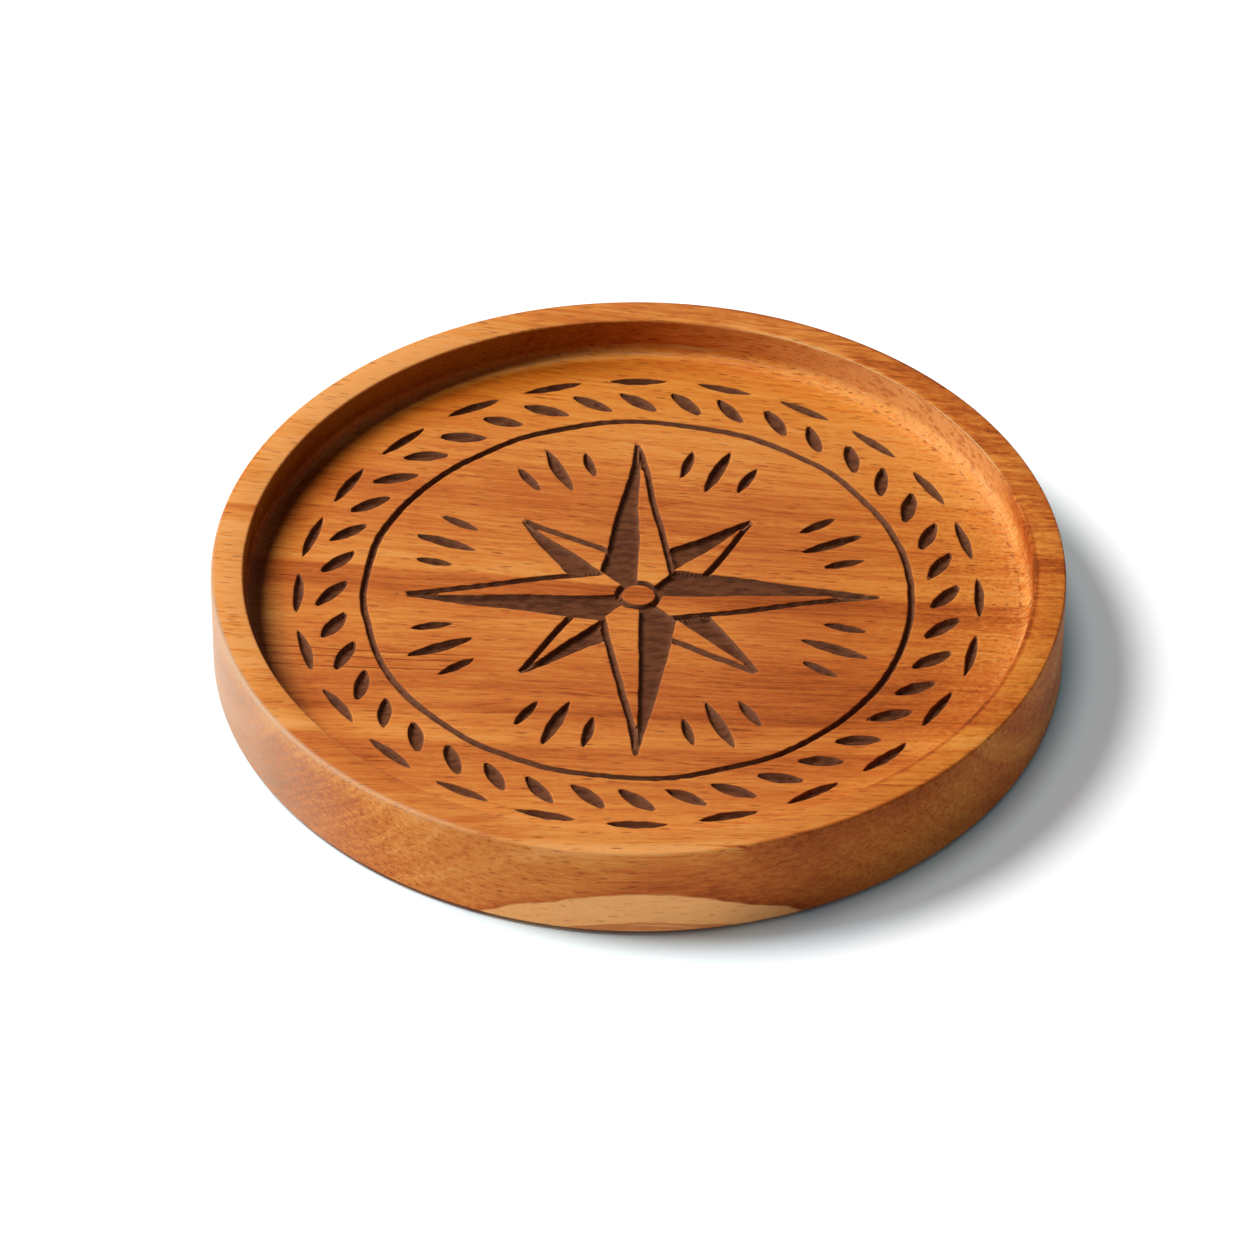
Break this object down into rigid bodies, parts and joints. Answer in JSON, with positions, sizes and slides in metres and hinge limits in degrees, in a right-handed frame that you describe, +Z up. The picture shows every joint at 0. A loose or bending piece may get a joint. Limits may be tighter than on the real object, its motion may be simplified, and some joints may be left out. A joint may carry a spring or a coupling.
{
  "type": "drink coaster",
  "caption": "Round wooden drink coaster: a thick turned board with a raised rim, an engraved flat recess for a glass or cup, and soft non-slip pads beneath.",
  "frame": {"origin": "centre of the circle of pads, on the surface that they stand on", "axes": "+Z up along the axis of the round board; +X runs along the grain of the wood, and -Y is the front"},
  "size_m": [0.1, 0.1, 0.0124],
  "materials": {
    "wood": "satin oiled hardwood, engraved lines charred dark brown",
    "pad": "matt soft rubber"
  },
  "bodies": {
    "root": {"board": "wood", "pad_back_right": "pad", "pad_back_left": "pad", "pad_front_left": "pad", "pad_front_right": "pad"}
  },
  "joints": []
}
